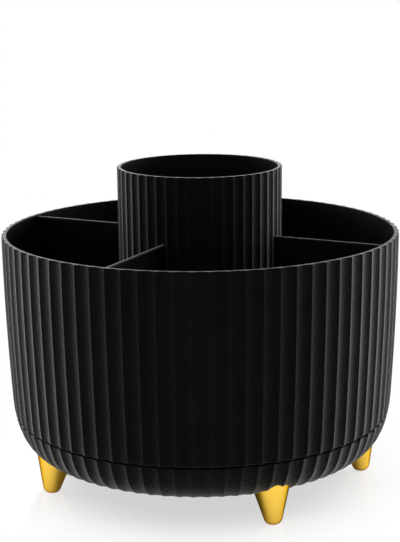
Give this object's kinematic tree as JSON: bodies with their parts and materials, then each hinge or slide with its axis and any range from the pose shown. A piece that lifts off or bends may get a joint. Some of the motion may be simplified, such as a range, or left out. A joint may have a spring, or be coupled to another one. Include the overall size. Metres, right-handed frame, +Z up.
{
  "type": "rotating makeup organizer",
  "caption": "Round rotating makeup organizer: fluted bowl with divider plates and a tall centre cup, turning on a ball bearing over a fluted base with splayed feet.",
  "frame": {"origin": "on the table, under the axis that the bowl turns about, level with the soles of the feet", "axes": "+Z up along the turning axis, -Y towards the side that faces the camera"},
  "size_m": [0.1802, 0.18, 0.1441],
  "materials": {
    "moulded_black_plastic": "satin moulded black ABS",
    "gold_plated_plastic": "polished gold electroplate over ABS",
    "bearing_steel": "ground and polished balls",
    "zinc_plated_steel": "pressed strip, zinc plated",
    "screw_steel": "zinc plated self-tapping screws",
    "acetal": "natural moulded acetal"
  },
  "bodies": {
    "base": {"base_dish": "moulded_black_plastic", "foot_1": "gold_plated_plastic", "foot_2": "gold_plated_plastic", "foot_3": "gold_plated_plastic", "foot_4": "gold_plated_plastic", "foot_screws": "screw_steel", "lower_race": "zinc_plated_steel", "hub_bush": "acetal"},
    "bowl": {"bowl": "moulded_black_plastic", "centre_cup": "moulded_black_plastic", "cup_screws": "screw_steel", "divider_1": "moulded_black_plastic", "divider_2": "moulded_black_plastic", "divider_3": "moulded_black_plastic", "divider_4": "moulded_black_plastic", "upper_race": "zinc_plated_steel", "pivot_washer": "zinc_plated_steel", "pivot_screw": "screw_steel"},
    "cage": {"ball_cage": "acetal", "bearing_balls": "bearing_steel"}
  },
  "joints": [
    {"name": "bowl_spin", "type": "hinge", "parent": "base", "child": "bowl", "pos_m": [0, 0, 0.0256], "axis": [0, 0, 1], "continuous": true},
    {"name": "cage_spin", "type": "hinge", "parent": "base", "child": "cage", "pos_m": [0, 0, 0.0256], "axis": [0, 0, 1], "continuous": true}
  ],
  "couplings": [
    {"joint": "cage_spin", "follows": "bowl_spin", "ratio": 0.5}
  ]
}
